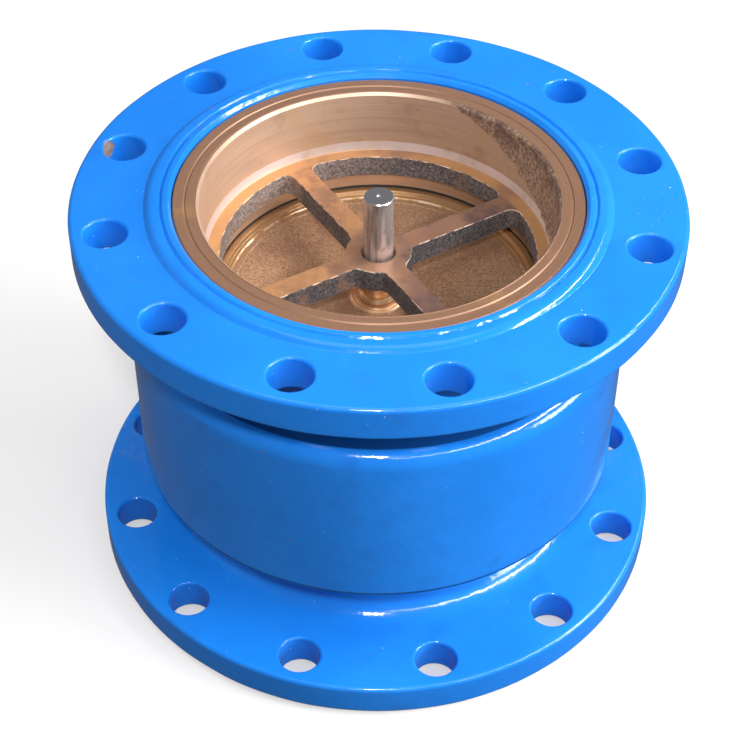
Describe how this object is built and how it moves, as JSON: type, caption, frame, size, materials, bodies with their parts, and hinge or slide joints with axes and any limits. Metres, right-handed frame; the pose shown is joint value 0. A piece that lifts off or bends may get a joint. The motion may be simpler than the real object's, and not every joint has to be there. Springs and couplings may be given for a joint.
{
  "type": "silent check valve",
  "caption": "Double-flanged spring-loaded silent check valve: blue cast body, bronze seat ring with cross-arm guide, disc on a sliding stem, spring and outlet guide.",
  "frame": {"origin": "centre of the outlet raised face, which is the lowest plane of the valve", "axes": "+Z along the valve's axis from the outlet to the inlet, +X and +Y midway between two bolt holes"},
  "size_m": [0.4, 0.4, 0.288],
  "materials": {
    "blue_epoxy": "thick glossy fusion-bonded epoxy over cast iron, light orange peel",
    "seat_bronze": "turned bronze, dull brown, rough as cast between the arms",
    "disc_bronze": "satin brown bronze casting with a machined rim",
    "guide_bronze": "as-cast bronze with turned hub and ring",
    "bushing_bronze": "bored and turned bearing bronze",
    "stem_stainless": "ground stainless steel bar",
    "stainless": "bright stainless fasteners",
    "spring_steel": "drawn stainless spring wire",
    "black_rubber": "black moulded rubber"
  },
  "bodies": {
    "housing": {"valve_body": "blue_epoxy", "seat_ring": "seat_bronze", "seat_o_ring": "black_rubber", "seat_set_screw_1": "stainless", "seat_set_screw_2": "stainless", "seat_set_screw_3": "stainless", "seat_set_screw_4": "stainless", "outlet_guide": "guide_bronze", "guide_bushing": "bushing_bronze", "guide_screw_1": "stainless", "guide_screw_2": "stainless", "guide_screw_3": "stainless", "guide_screw_4": "stainless", "guide_screw_washer_1": "stainless", "guide_screw_washer_2": "stainless", "guide_screw_washer_3": "stainless", "guide_screw_washer_4": "stainless", "spring": "spring_steel"},
    "spring_carrier": {"spring_cup_washer": "stainless"},
    "disc_assembly": {"disc": "disc_bronze", "disc_seal_ring": "black_rubber", "stem": "stem_stainless", "stem_washer": "stainless", "stem_nut": "stainless", "stem_jam_nut": "stainless"}
  },
  "joints": [
    {"name": "disc_lift", "type": "slide", "parent": "housing", "child": "spring_carrier", "axis": [0, 0, -1], "range_m": [0, 0.045], "stiffness_N_per_m": 4000, "springref_m": -0.035, "deforming": ["spring"]},
    {"name": "disc_turn", "type": "hinge", "parent": "spring_carrier", "child": "disc_assembly", "pos_m": [0, 0, 0.188], "axis": [0, 0, 1], "continuous": true}
  ]
}
